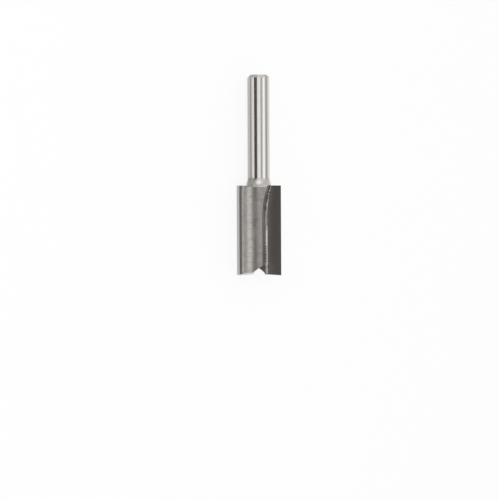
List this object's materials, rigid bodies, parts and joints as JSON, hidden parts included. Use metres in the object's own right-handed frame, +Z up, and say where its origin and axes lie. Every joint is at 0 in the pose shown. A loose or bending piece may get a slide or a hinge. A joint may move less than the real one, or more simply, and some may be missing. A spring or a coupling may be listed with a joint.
{
  "type": "router bit",
  "caption": "Straight plunge router bit: ground round shank, flared neck and fluted steel head with brazed carbide tips and a split end.",
  "frame": {"origin": "on the table under the middle of the bit, which lies on its side", "axes": "+Y along the tool's axis towards the end of the shank, +Z up from the table"},
  "size_m": [0.0102, 0.0566, 0.0099],
  "materials": {
    "tool_steel": "satin",
    "carbide": "satin",
    "silver_braze": "satin"
  },
  "bodies": {
    "root": {"steel_body": "tool_steel", "carbide_tip_1": "carbide", "carbide_tip_2": "carbide", "braze_joint_1": "silver_braze", "braze_joint_2": "silver_braze"}
  },
  "joints": []
}
